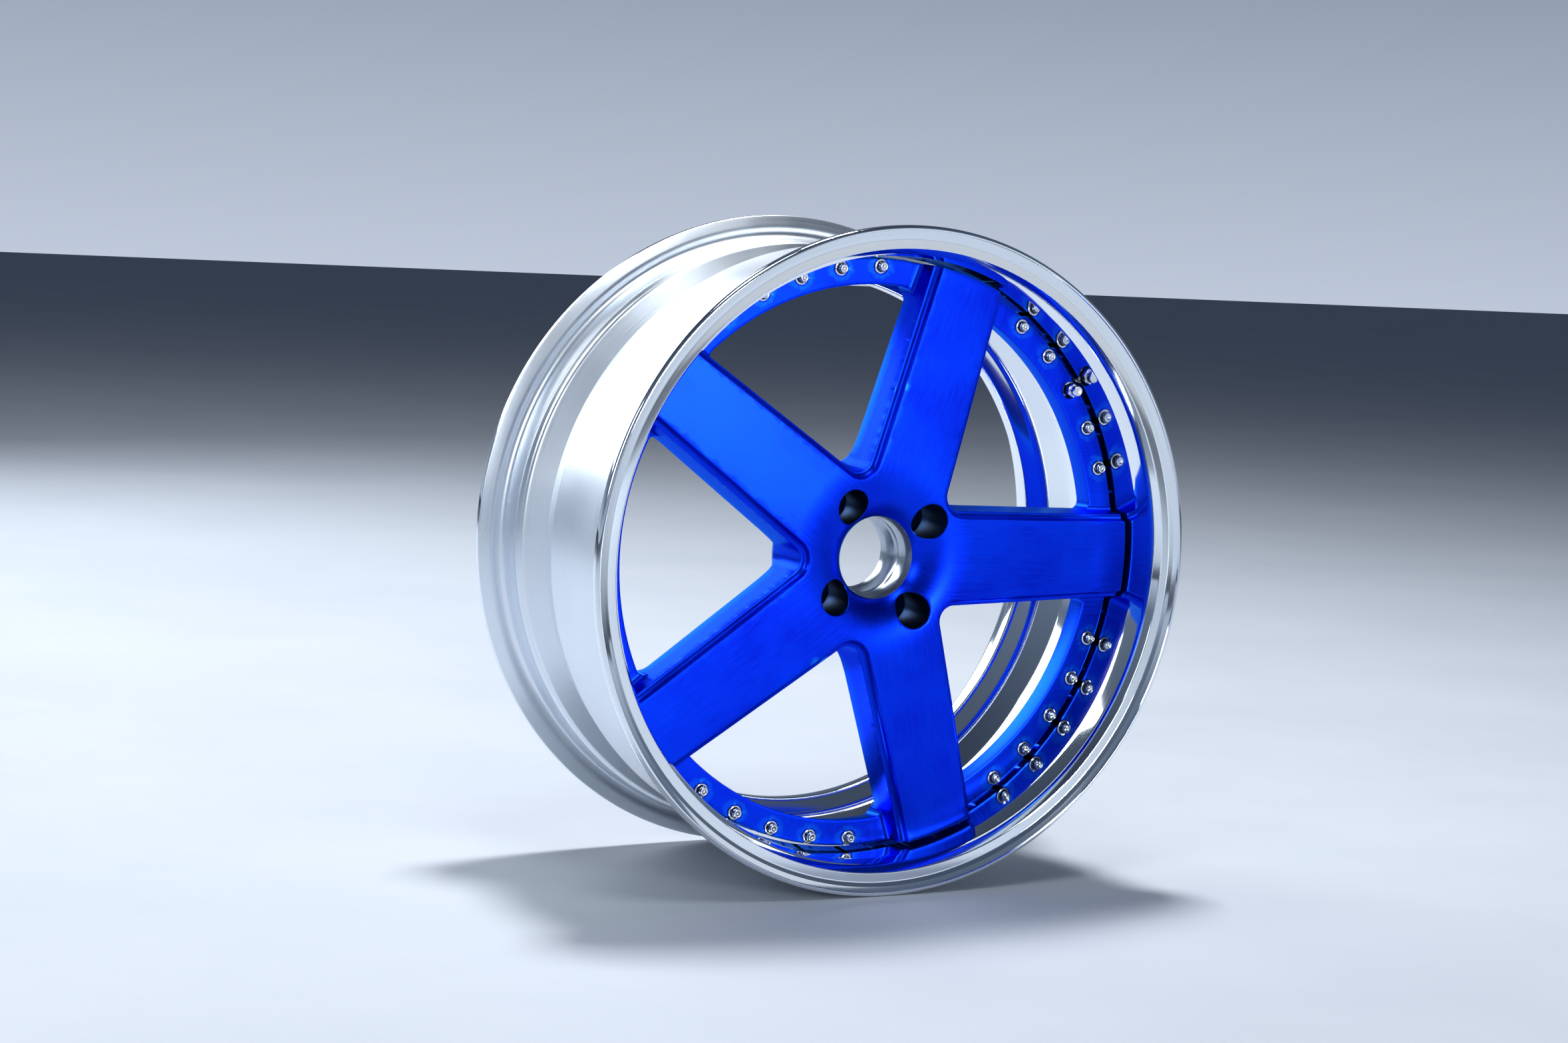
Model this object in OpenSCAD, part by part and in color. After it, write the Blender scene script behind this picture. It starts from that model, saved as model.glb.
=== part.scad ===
// Forged two-piece racing wheel: a one-piece barrel and a five-spoke centre disc bolted into it.
// The wheel stands upright with its axis along Y, its street side towards -Y and +Z up.
// Outlines are drawn as [radius, reach]. Reach is the distance in front of the rim's
// mid-plane, towards the street side, so a point with reach 10 lies at Y = -10.
// A third number in an outline's point is the radius that rounds that corner.

/* [Rim barrel] */
// Diameter of the bead seats, the nominal rim size
bead_seat_d = 482.6; // [400:0.1:600]
// Width between the two tyre flanges
rim_w = 203.2; // [168:0.1:250]
// Height of each flange above its bead seat
flange_h = 17.5; // [14.5:0.1:21]
// Width of each flange outside the tyre space
flange_w = 12.4; // [10.3:0.1:15]
// Thickness of the barrel wall
wall = 4.3; // [3.5:0.1:5.2]
// Length of each bead seat along the axis
seat_len = 20; // [16:0.5:24]
// Drop from the bead seat to the barrel's plain cylinder
seat_drop = 2.7; // [2.2:0.1:3.2]
// Height of the safety hump above the plain cylinder
hump_h = 1.6; // [1:0.1:2]
// Width of the safety hump's foot
hump_w = 8; // [6.5:0.5:9.5]
// Depth of the drop centre below the bead seat
well_depth = 24.8; // [20.6:0.1:29.8]
// Length of the drop centre's floor
well_len = 9.5; // [8:0.5:12]
// Length of the slope behind the drop centre
well_rear_len = 12.5; // [10.5:0.5:15]
// Length of the gentle slope in front of the drop centre
well_ramp_len = 26.6; // [22:0.2:32]
// Length of the steep wall in front of the drop centre
well_steep_len = 8.5; // [7:0.5:10.5]

/* [Mounting ledge] */
// Reach of the ledge's front face, which the disc seats on
seat_reach = 40; // [33:0.5:48]
// Thickness of the ledge along the axis
ledge_t = 12; // [10:0.5:14.5]
// Width of the ledge inside the barrel wall
ledge_w = 16.3; // [14.5:0.02:19.56]

/* [Bolting ring] */
// Thickness of the disc's bolting ring in front of the ledge
ring_t = 12.2; // [10.2:0.1:14.6]
// Length of the spigot that centres the disc in the ledge
spigot_len = 11; // [9:0.5:12]
// Width of the spigot's wall
spigot_w = 7; // [5.8:0.1:8.4]
// Gap between the disc's rim and the barrel's lip
disc_gap = 3; // [2.5:0.1:3.6]
// Distance from the lip's wall to the bolt circle
bolt_inset = 9.3; // [8.8:0.1:11]

/* [Spokes] */
// Width of a spoke's face beside the hub
spoke_hub_w = 64; // [53:0.5:70]
// Width of a spoke's face at the bolting ring
spoke_rim_w = 57.4; // [48:0.2:66]
// Reach of a spoke's face at the rim
face_rim_reach = 73; // [68:0.5:82]
// Reach of a spoke's face beside the hub
face_hub_reach = 85.5; // [80:0.5:98]
// Thickness of a spoke at the rim
spoke_rim_t = 29; // [24:0.5:34]
// Thickness of a spoke beside the hub
spoke_hub_t = 38; // [32:0.5:46]
// Width of the step along each edge of a spoke's face
step_w = 5; // [4:0.5:6]
// Depth of the step along each edge of a spoke's face
step_d = 6; // [5:0.5:7]
// Rounding of the face's corner between two spokes
crotch_r = 17; // [14:0.5:20]
// Rounding of a window's corners at the bolting ring
corner_r = 6; // [5:0.5:7]

/* [Hub] */
// Reach of the mounting pad, which is the wheel's offset
offset_reach = 28; // [23.5:0.5:33]
// Diameter of the mounting pad
pad_d = 139; // [132:0.5:166]
// Diameter of the hub bore
hub_bore_d = 56.1; // [47:0.05:58]
// Length of the hub bore
hub_bore_len = 9.5; // [8:0.5:11.4]
// Diameter of the centre cap's recess
cap_bore_d = 61; // [59.5:0.1:66]
// Length of the centre cap's recess
cap_bore_len = 18; // [15:0.5:21]
// Diameter of the bore's front chamfer
bore_rim_d = 65; // [63:0.1:70]
// Reach of the bore's front rim
bore_rim_reach = 70.5; // [69:0.5:75]
// Diameter of the lug circle
lug_pcd = 100; // [98:0.1:114.3]
// Diameter of each lug well
lug_well_d = 27.7; // [23.5:0.1:30]
// Diameter of each lug hole in the mounting pad
lug_hole_d = 14.6; // [12.2:0.1:17.5]
// Thickness of metal under each lug seat
lug_floor = 7; // [5.5:0.5:8.5]

/* [Assembly bolts] */
// Diameter of a bolt's thread
bolt_d = 7; // [6:0.1:8.4]
// Diameter of a bolt's flange
bolt_flange_d = 11.8; // [10.5:0.1:13]
// Thickness of a bolt's flange
bolt_flange_t = 1.5; // [1.2:0.1:1.8]
// Width across the points of a bolt's twelve-point head
bolt_head_d = 8.6; // [7.8:0.1:9.6]
// Height of a bolt's twelve-point head
bolt_head_h = 5; // [4.2:0.1:6]
// Diameter of the round end on a bolt's head
bolt_tip_d = 6.5; // [5.5:0.1:7.5]
// Height of the round end on a bolt's head
bolt_tip_h = 1.6; // [1.3:0.1:2]
// Diameter of the spot face under a bolt's flange
spot_d = 13.6; // [13.2:0.1:15]
// Depth of the spot face
spot_depth = 0.8; // [0.6:0.1:1]
// Width across the flats of a nut
nut_af = 10; // [9:0.1:11]
// Height of a nut
nut_h = 7; // [6:0.1:8.4]

/* [Tyre valve] */
// Diameter of the opening around the valve in the bolting ring
valve_hole_d = 13.6; // [12.8:0.1:17]
// Diameter of the stem's thread in the ledge
port_d = 8.3; // [7.5:0.1:9]
// Depth of the stem's thread in the ledge
port_depth = 9; // [8:0.5:10]
// Diameter of the air passage to the tyre space
air_d = 3; // [2.5:0.1:3.5]
// Diameter of the stem's barrel
stem_d = 7.7; // [7.2:0.1:8.4]
// Length of the stem in front of the ledge
stem_len = 15; // [12.5:0.1:18]
// Width across the flats of the stem's collar
collar_af = 10.6; // [9.8:0.1:11.2]
// Depth of the valve cap over the stem's end
cap_grip = 5.5; // [4.6:0.1:6.5]
// Length of the valve cap's hexagonal part
cap_hex_len = 8; // [7.8:0.1:9.6]
// Length of the valve cap's round end
cap_end_len = 6.5; // [5.4:0.1:7.8]
// Diameter of the valve cap's round end
cap_end_d = 8.2; // [6.8:0.1:9.4]
// Width across the flats of the valve cap
cap_af = 9.8; // [9.4:0.1:11.4]

/* [Clearances] */
// Radial clearance of the disc's spigot in the ledge
spigot_clear = 0.1; // [0.05:0.01:0.2]
// Radial clearance of a bolt in the ring and the ledge
bolt_clear = 0.25; // [0.1:0.05:0.4]
// Radial clearance between engaged threads
thread_clear = 0.05; // [0.02:0.01:0.1]
// Radial clearance of the core pin in its guide
pin_clear = 0.05; // [0.02:0.01:0.09]

/* [Hidden] */

$fn = 96;
arc_steps = 5;
eps = 0.01;
cut_h = 300;

// Shared radii, from the tyre side inwards
seat_r = bead_seat_d / 2;
tip_r = seat_r + flange_h;
barrel_r = seat_r - seat_drop;
well_r = seat_r - well_depth;
lip_r = barrel_r - wall;
ledge_r = lip_r - ledge_w;
disc_r = lip_r - disc_gap;
spigot_r = ledge_r - spigot_clear;
window_r = spigot_r - spigot_w;
bolt_r = lip_r - bolt_inset;

// Shared reaches, from the street side to the rear
hump_land = 4;
flange_in = rim_w / 2;
flange_out = flange_in + flange_w;
ring_face = seat_reach + ring_t;
ledge_rear = seat_reach - ledge_t;
spigot_rear = seat_reach - spigot_len;
rear_slope = -(flange_in - seat_len - hump_w - hump_land);
well_rear = rear_slope + well_rear_len;
well_front = well_rear + well_len;
well_steep = well_front + well_steep_len;
well_step = well_steep + well_ramp_len;

// Spokes: the plan lines converge by taper degrees on each side of a spoke's axis
spokes = 5;
half_pitch = 180 / spokes;
hub_r = pad_d / 2 + 10;
taper = atan((spoke_hub_w - spoke_rim_w) / 2 / (window_r - hub_r));
face_line = (spoke_hub_w / 2 + hub_r * tan(taper)) * cos(taper);
face_hub_r = 82;

// Bolt positions: each window has five places, and the first window's middle one is the valve's
places = [-2, -1, 0, 1, 2];
place_pitch = half_pitch / 4;
valve_angle = half_pitch;
bolt_seat = ring_face - spot_depth;

// Valve: reaches along the stem and sizes of the core
seal_t = 1;
collar_h = 4;
stem_tip = seat_reach + stem_len;
core_pocket_r = 2.6;
core_low_r = 2;
core_shoulder = stem_tip - 15;
core_top = stem_tip - 1.5;
nose_end = core_shoulder + 1.5;
nose_top = core_shoulder + 5;
chamber_low = nose_end + 2;
chamber_top = core_top - 2.3;
chamber_r = 1.65;
pin_r = 0.75;
pin_collar = chamber_top - 1.6;
cup_gap = 0.05;
cap_foot = stem_tip - cap_grip;
cap_seal_t = 1;
cap_roof = stem_tip + 1.2;

// --- Helpers -----------------------------------------------------------------------------

function unit(v) = v / norm(v);
function wrap(a) = a > 180 ? a - 360 : a < -180 ? a + 360 : a;
function round_corner(a, b, c) =
  let (p = [b[0], b[1]], u = unit([a[0], a[1]] - p), v = unit([c[0], c[1]] - p))
  let (half = acos(u * v) / 2, m = p + unit(u + v) * b[2] / sin(half))
  let (s = p + u * b[2] / tan(half), e = p + v * b[2] / tan(half))
  let (from = atan2(s[1] - m[1], s[0] - m[0]), to = atan2(e[1] - m[1], e[0] - m[0]))
  [for (i = [0:arc_steps]) let (t = from + wrap(to - from) * i / arc_steps)
    m + b[2] * [cos(t), sin(t)]];

// Outline with each corner rounded by the third number of its point, where it has one
function rounded(points) = [
  for (i = [0:len(points) - 1])
    let (n = len(points), b = points[i])
    each (len(b) < 3 ? [b] : round_corner(points[(i + n - 1) % n], b, points[(i + 1) % n]))
];

function bezier(a, b, c, steps) =
  [for (i = [0:steps]) let (t = i / steps) a * (1 - t) * (1 - t) + 2 * b * t * (1 - t) + c * t * t];

// Turns a shape drawn in plan, with reach upwards, to the wheel's own axes
module street_up() rotate([90, 0, 0]) children();

module ring_of(outer_r, inner_r, low, high) translate([0, 0, low]) difference() {
  cylinder(r = outer_r, h = high - low);
  translate([0, 0, -eps]) cylinder(r = inner_r, h = high - low + 2 * eps);
}

module at_bolt(angle) rotate(angle) translate([bolt_r, 0, 0]) children();

module hex_prism(af, h) cylinder(d = af / cos(30), h = h, $fn = 6);

module each_bolt(window)
  for (place = places)
    if (window > 1 || place != 0)
      at_bolt(half_pitch * (2 * window - 1) + place * place_pitch) children();

// --- Rim barrel --------------------------------------------------------------------------

seat_end_r = seat_r - seat_len * tan(5);

// The tyre side of one end, from the flange's outer corner to the foot of the hump
function tyre_end() = [
  [tip_r, flange_out, 2.8], [tip_r, flange_in + 5.5, 1.5], [seat_r + 8.5, flange_in, 8],
  [seat_r, flange_in, 6], [seat_end_r, flange_in - seat_len, 1],
  [barrel_r + hump_h, flange_in - seat_len - hump_w / 2, 3],
  [barrel_r, flange_in - seat_len - hump_w, 6]
];

function mirrored(points) =
  [for (i = [len(points) - 1:-1:0]) let (p = points[i]) [p[0], -p[1], p[2]]];

// The drop centre, seen from the tyre side
well_outside = [
  [barrel_r, well_step, 0.5], [barrel_r - 2, well_step - 1, 1],
  [barrel_r - 6.8, well_steep, 14], [well_r, well_front, 4],
  [well_r, well_rear, 5], [barrel_r, rear_slope, 4]
];

// The same side from inside, one wall's thickness away
well_inside = [
  [lip_r, rear_slope - 3, 6], [well_r - wall, well_rear - 1, 6], [well_r - wall, well_front + 1, 5],
  [lip_r - 7, well_steep + 1, 12], [lip_r, well_step, 20]
];

rear_inside = [[tip_r - 13.5, -flange_out, 2.5], [lip_r + 2.4, -(flange_in - 1), 8]];

ledge_outline = [
  [lip_r, ledge_rear, 2.5], [ledge_r, ledge_rear, 0.8], [ledge_r, seat_reach], [lip_r, seat_reach]
];

// The polished lip flares from the plain wall to a soft double-dished front face
lip_outline = [
  [lip_r, flange_out - 28, 40], [lip_r + 2.2, flange_in, 16], [lip_r + 6.8, flange_out - 4.4, 1.2],
  [tip_r - 10.5, flange_out - 4.4, 2.5], [tip_r - 7.5, flange_out - 2.6, 2.5],
  [tip_r - 3.6, flange_out - 1.2, 0.3], [tip_r - 3.3, flange_out, 0.3]
];

module barrel_section() polygon(rounded(concat(
  tyre_end(), well_outside, mirrored(tyre_end()), rear_inside, well_inside,
  ledge_outline, lip_outline
)));

// Threaded port for the valve and the passage from it to the tyre space
module valve_port() rotate(valve_angle) {
  translate([bolt_r, 0, seat_reach - port_depth]) cylinder(d = port_d, h = port_depth + eps);
  translate([bolt_r, 0, seat_reach - port_depth + air_d / 2])
    rotate([0, 90, 0]) cylinder(d = air_d, h = seat_r - bolt_r);
}

module rim_barrel() color("gainsboro") street_up() difference() {
  rotate_extrude($fn = 360) barrel_section();
  for (window = [1:spokes]) each_bolt(window)
    translate([0, 0, ledge_rear - eps])
      cylinder(r = bolt_d / 2 + bolt_clear, h = ledge_t + 2 * eps);
  valve_port();
}

// --- Centre disc -------------------------------------------------------------------------

// Reach of a spoke's face at a radius outside the hub's bowl
function face_reach(r) =
  face_hub_reach + (face_rim_reach - face_hub_reach) * (r - face_hub_r) / (disc_r - face_hub_r);
face_slope = (face_rim_reach - face_hub_reach) / (disc_r - face_hub_r);
bowl_bend_r = 46;

hub_bore_r = hub_bore_d / 2;
cap_bore_r = cap_bore_d / 2;
bore_rim_r = bore_rim_d / 2;
shoulder_reach = offset_reach + hub_bore_len;
cap_floor = shoulder_reach + 8.5;

// The face from the bore's rim through the bowl around it and out along the spokes
face_outline = concat(
  bezier([bore_rim_r, bore_rim_reach], [bowl_bend_r, face_reach(bowl_bend_r)],
    [face_hub_r, face_reach(face_hub_r)], 12),
  [[disc_r - 1.2, face_reach(disc_r - 1.2)], [disc_r, face_reach(disc_r) - 1.2]]
);

// The back from the bolting ring to the mounting pad
back_outline = [
  [disc_r, seat_reach], [spigot_r, seat_reach], [spigot_r, spigot_rear + 0.6],
  [spigot_r - 0.6, spigot_rear], [window_r - 1, spigot_rear],
  [window_r - 9, face_reach(window_r) - spoke_rim_t - step_d / 2],
  [hub_r + 14, face_reach(hub_r + 14) - spoke_hub_t + step_d / 2],
  [hub_r, face_reach(hub_r) - spoke_hub_t], [pad_d / 2 + 2, offset_reach + 6],
  [pad_d / 2, offset_reach + 1], [pad_d / 2 - 1, offset_reach]
];

bore_outline = [
  [hub_bore_r + 1, offset_reach], [hub_bore_r, offset_reach + 1], [hub_bore_r, shoulder_reach],
  [cap_bore_r, cap_floor], [cap_bore_r, cap_floor + cap_bore_len]
];

module disc_blank() rotate_extrude($fn = 240)
  polygon(concat(face_outline, back_outline, bore_outline));

// Centre of the circle that rounds a window's corner between two spokes
crotch = (face_line + crotch_r) / sin(half_pitch + taper) * [cos(half_pitch), sin(half_pitch)];

// Centre of the circle that rounds a window's outer corner, seen from the spoke's axis
function corner_at(edge, outer_r, r) =
  let (side = face_line + edge + r, along = sqrt(pow(outer_r - r, 2) - side * side))
  [along * cos(taper) + side * sin(taper), side * cos(taper) - along * sin(taper)];

function on_arc(centre, r, from, to, steps, first) =
  [for (i = [first:steps]) let (t = from + (to - from) * i / steps) centre + r * [cos(t), sin(t)]];

// One half of a window in plan, from its middle beside the hub, along a spoke, to its middle outside
function half_window(edge, outer_r, r) =
  let (corner = corner_at(edge, outer_r, r), corner_angle = atan2(corner[1], corner[0]))
  concat(
    on_arc(crotch, crotch_r - edge, half_pitch - 180, -90 - taper, 8, 0),
    on_arc(corner, r, -90 - taper, corner_angle, 8, 0),
    on_arc([0, 0], outer_r, corner_angle, half_pitch, 12, 1)
  );

function across_middle(p) =
  [p[0] * cos(2 * half_pitch) + p[1] * sin(2 * half_pitch),
    p[0] * sin(2 * half_pitch) - p[1] * cos(2 * half_pitch)];

module window(edge, outer_r, r) {
  half = half_window(edge, outer_r, r);
  polygon(concat(half, [for (i = [len(half) - 2:-1:1]) across_middle(half[i])]));
}

module each_window() for (i = [0:spokes - 1]) rotate(2 * half_pitch * i) children();

// The bolting ring's front is lower than the spokes, so it is cleared between them
module clear_ring_front()
  translate([0, 0, ring_face]) linear_extrude(cut_h)
    each_window() window(step_w, tip_r + 20, corner_r);

// The step along a spoke's edges keeps a constant depth below the sloping face
module step_band()
  intersection() {
    linear_extrude(cut_h) each_window() window(0, tip_r + 20, corner_r);
    rotate_extrude($fn = 240) polygon([
      [1, face_reach(1) - step_d], [tip_r, face_reach(tip_r) - step_d], [tip_r, cut_h], [1, cut_h]
    ]);
  }

module lug_cut() {
  seat_low = offset_reach + lug_floor;
  seat_high = seat_low + (lug_well_d / 2 - 1.5 - lug_hole_d / 2) / tan(30);
  translate([0, 0, offset_reach - 1]) cylinder(d = lug_hole_d, h = lug_floor + 2);
  translate([0, 0, seat_low])
    cylinder(d1 = lug_hole_d, d2 = lug_well_d - 3, h = seat_high - seat_low);
  translate([0, 0, seat_high - eps]) cylinder(d = lug_well_d, h = cut_h);
}

module lug_cuts()
  for (lug = [0:3]) rotate(half_pitch + 90 * lug) translate([lug_pcd / 2, 0, 0]) lug_cut();

module window_cuts()
  translate([0, 0, -cut_h / 2]) linear_extrude(cut_h)
    each_window() window(step_w + 1, window_r, corner_r);

// The disc is one forging. Its hub, with the bore and the lug wells, ends just outside the
// roots of the steps between the spokes
hub_end_r = norm(crotch) - crotch_r + 1.8;

module hub_zone() cylinder(r = hub_end_r, h = cut_h);

module disc_hub() color("mediumblue") street_up() difference() {
  intersection() {
    disc_blank();
    hub_zone();
  }
  window_cuts();
  step_band();
  lug_cuts();
}

module centre_disc() color("mediumblue") street_up() difference() {
  disc_blank();
  hub_zone();
  window_cuts();
  clear_ring_front();
  step_band();
  lug_cuts();
  for (window = [1:spokes]) each_bolt(window) {
    translate([0, 0, seat_reach - 1]) cylinder(r = bolt_d / 2 + bolt_clear, h = ring_t + 2);
    translate([0, 0, bolt_seat]) cylinder(d = spot_d, h = cut_h);
  }
  at_bolt(valve_angle) translate([0, 0, seat_reach - 1]) cylinder(d = valve_hole_d, h = cut_h);
}

// --- Assembly bolts and nuts -------------------------------------------------------------

module twelve_point(d, h) for (turn = [0, 30]) rotate(turn) cylinder(d = d, h = h, $fn = 6);

module bolt() {
  head_low = bolt_seat + bolt_flange_t;
  head_high = head_low + bolt_head_h - bolt_tip_h;
  shank_end = ledge_rear - nut_h - 2;
  translate([0, 0, bolt_seat]) cylinder(d1 = bolt_flange_d, d2 = bolt_flange_d - 1, h = bolt_flange_t);
  translate([0, 0, head_low]) twelve_point(bolt_head_d, head_high - head_low);
  translate([0, 0, head_high]) difference() {
    cylinder(d = bolt_tip_d, h = bolt_tip_h);
    translate([0, 0, bolt_tip_h - 0.8]) cylinder(d1 = 1.5, d2 = bolt_tip_d - 2.4, h = 0.8 + eps);
  }
  translate([0, 0, shank_end]) cylinder(d = bolt_d, h = bolt_seat - shank_end + eps);
}

module nut() difference() {
  union() {
    translate([0, 0, ledge_rear - 1.5]) cylinder(d1 = nut_af + 1.6, d2 = nut_af + 2.6, h = 1.5);
    translate([0, 0, ledge_rear - nut_h]) hex_prism(nut_af, nut_h - 1);
  }
  translate([0, 0, ledge_rear - nut_h - 1]) cylinder(r = bolt_d / 2 + thread_clear, h = nut_h + 2);
}

module assembly_bolts(window) color("silver") street_up() each_bolt(window) bolt();

module assembly_nuts(window) color("silver") street_up() each_bolt(window) nut();

// --- Tyre valve --------------------------------------------------------------------------

module at_valve() street_up() at_bolt(valve_angle) children();

module valve_stem() color("silver") at_valve() difference() {
  union() {
    translate([0, 0, seat_reach - port_depth + 0.5])
      cylinder(r = port_d / 2 - thread_clear, h = port_depth + seal_t);
    translate([0, 0, seat_reach + seal_t]) hex_prism(collar_af, collar_h);
    translate([0, 0, seat_reach + seal_t]) cylinder(d = stem_d, h = stem_len - seal_t);
  }
  translate([0, 0, seat_reach - port_depth]) cylinder(r = core_low_r, h = cut_h);
  translate([0, 0, core_shoulder]) cylinder(r = core_pocket_r, h = cut_h);
}

module valve_base_seal() color("black") at_valve()
  ring_of(collar_af / 2, port_d / 2 + thread_clear, seat_reach, seat_reach + seal_t);

module valve_core_body() color("goldenrod") at_valve() difference() {
  union() {
    translate([0, 0, nose_end]) cylinder(r = core_low_r - 0.05, h = core_top - nose_end);
    translate([0, 0, nose_top]) cylinder(r = core_pocket_r - thread_clear, h = core_top - nose_top);
  }
  translate([0, 0, nose_end - 1]) cylinder(r = 1.15, h = chamber_low - nose_end + 2);
  translate([0, 0, chamber_low]) cylinder(r = chamber_r, h = chamber_top - chamber_low);
  translate([0, 0, chamber_top - eps]) cylinder(r = pin_r + pin_clear, h = cut_h);
}

module valve_core_seal() color("white") at_valve()
  ring_of(core_pocket_r - thread_clear, core_low_r, nose_end + 0.5, nose_top);

module valve_core_pin() color("gold") at_valve() {
  translate([0, 0, nose_end - 2.5]) cylinder(r = pin_r, h = stem_tip - 0.8 - nose_end + 2.5);
  translate([0, 0, pin_collar]) cylinder(r = chamber_r - 0.25, h = 0.8);
}

module valve_core_cup() color("dimgray") at_valve()
  ring_of(1.5, pin_r, nose_end - cup_gap - 1.5, nose_end - cup_gap);

// Spring wire swept along a helix between the chamber's floor and the pin's collar
spring_r = 1.2;
spring_wire_r = 0.2;
spring_turns = 5;
spring_low = chamber_low + spring_wire_r;
spring_rise = pin_collar - chamber_low - 2 * spring_wire_r - 0.1;
wire_sides = 8;
coil_steps = 16 * spring_turns;

function coil_point(i, j) =
  let (a = 360 * spring_turns * i / coil_steps, b = 360 * j / wire_sides)
  let (r = spring_r + spring_wire_r * cos(b))
  [r * cos(a), r * sin(a), spring_low + spring_rise * i / coil_steps + spring_wire_r * sin(b)];

module valve_core_spring() color("lightgray") at_valve() polyhedron(
  points = [for (i = [0:coil_steps], j = [0:wire_sides - 1]) coil_point(i, j)],
  faces = concat(
    [[for (j = [0:wire_sides - 1]) j]],
    [[for (j = [wire_sides - 1:-1:0]) coil_steps * wire_sides + j]],
    [for (i = [0:coil_steps - 1], j = [0:wire_sides - 1])
      let (a = i * wire_sides, b = a + wire_sides, k = (j + 1) % wire_sides)
      [a + j, b + j, b + k, a + k]]
  )
);

module valve_cap() color("silver") at_valve() difference() {
  union() {
    translate([0, 0, cap_foot]) hex_prism(cap_af, cap_hex_len);
    translate([0, 0, cap_foot + cap_hex_len]) cylinder(d = cap_end_d, h = cap_end_len - 0.5);
    translate([0, 0, cap_foot + cap_hex_len + cap_end_len - 0.5])
      cylinder(d1 = cap_end_d, d2 = cap_end_d - 1, h = 0.5);
  }
  translate([0, 0, cap_foot - 1]) cylinder(r = stem_d / 2 + thread_clear, h = cap_roof - cap_foot + 1);
}

module valve_cap_seal() color("black") at_valve()
  translate([0, 0, cap_roof - cap_seal_t]) cylinder(r = stem_d / 2, h = cap_seal_t);

// --- Nodes -------------------------------------------------------------------------------

rim_barrel();
centre_disc();
disc_hub();
assembly_bolts(1);  // assembly_bolts_1
assembly_bolts(2);  // assembly_bolts_2
assembly_bolts(3);  // assembly_bolts_3
assembly_bolts(4);  // assembly_bolts_4
assembly_bolts(5);  // assembly_bolts_5
assembly_nuts(1);  // assembly_nuts_1
assembly_nuts(2);  // assembly_nuts_2
assembly_nuts(3);  // assembly_nuts_3
assembly_nuts(4);  // assembly_nuts_4
assembly_nuts(5);  // assembly_nuts_5
valve_stem();
valve_base_seal();
valve_core_body();
valve_core_seal();
valve_core_pin();
valve_core_cup();
valve_core_spring();
valve_cap();
valve_cap_seal();
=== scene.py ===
import math

import bmesh
import bpy
import numpy as np
from mathutils import Matrix, Vector, geometry


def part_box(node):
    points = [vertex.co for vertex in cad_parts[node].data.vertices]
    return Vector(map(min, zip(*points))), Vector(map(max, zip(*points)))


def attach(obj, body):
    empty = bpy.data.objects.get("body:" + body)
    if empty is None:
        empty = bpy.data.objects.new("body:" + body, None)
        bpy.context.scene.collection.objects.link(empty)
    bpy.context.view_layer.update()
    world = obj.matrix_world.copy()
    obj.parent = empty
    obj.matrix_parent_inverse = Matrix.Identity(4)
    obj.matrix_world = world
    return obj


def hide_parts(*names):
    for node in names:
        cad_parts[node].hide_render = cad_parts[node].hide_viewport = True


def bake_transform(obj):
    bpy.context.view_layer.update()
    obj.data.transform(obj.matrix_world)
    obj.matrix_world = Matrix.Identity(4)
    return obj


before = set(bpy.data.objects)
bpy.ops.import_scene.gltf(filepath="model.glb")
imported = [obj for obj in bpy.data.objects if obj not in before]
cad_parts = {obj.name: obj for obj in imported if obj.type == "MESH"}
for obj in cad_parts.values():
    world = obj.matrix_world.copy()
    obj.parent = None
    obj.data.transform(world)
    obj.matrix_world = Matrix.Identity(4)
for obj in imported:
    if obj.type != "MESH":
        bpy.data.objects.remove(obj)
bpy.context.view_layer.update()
scene = bpy.context.scene

# ---------------------------------------------------------------- sizes, as in the CAD source
TIP_R, SEAT_R, BARREL_R, WELL_R, LIP_R = 258.8, 241.3, 238.6, 216.5, 234.3
LEDGE_R, DISC_R, SPIGOT_R, WINDOW_R, BOLT_R = 218.0, 231.3, 217.9, 210.9, 225.0
WALL, SEAT_LEN, SEAT_SLOPE, HUMP_H, HUMP_W = 4.3, 20.0, math.radians(5), 1.6, 8.0
FLANGE_IN, FLANGE_OUT = 101.6, 114.0
SEAT_REACH, RING_FACE, LEDGE_REAR, SPIGOT_REAR, PAD_REACH = 40.0, 52.2, 28.0, 29.0, 28.0
REAR_SLOPE, WELL_REAR, WELL_FRONT, WELL_STEEP, WELL_STEP = -69.6, -57.1, -47.6, -39.1, -12.5
FACE_HUB, FACE_RIM, FACE_HUB_R = 85.5, 73.0, 82.0
BOWL_R, BOWL_REACH, BOWL_BEND_R = 32.5, 70.5, 46.0
PITCH = math.radians(72)
HALF = PITCH / 2
# the face of a spoke is this wide beside the hub, at this radius, and at the windows' outer edge
SPOKE_WIDE, SPOKE_WIDE_R, SPOKE_NARROW = 64.0, 79.5, 57.4
TAPER = math.atan((SPOKE_WIDE - SPOKE_NARROW) / 2 / (WINDOW_R - SPOKE_WIDE_R))
FACE_LINE = (SPOKE_WIDE / 2 + SPOKE_WIDE_R * math.tan(TAPER)) * math.cos(TAPER)
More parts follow.
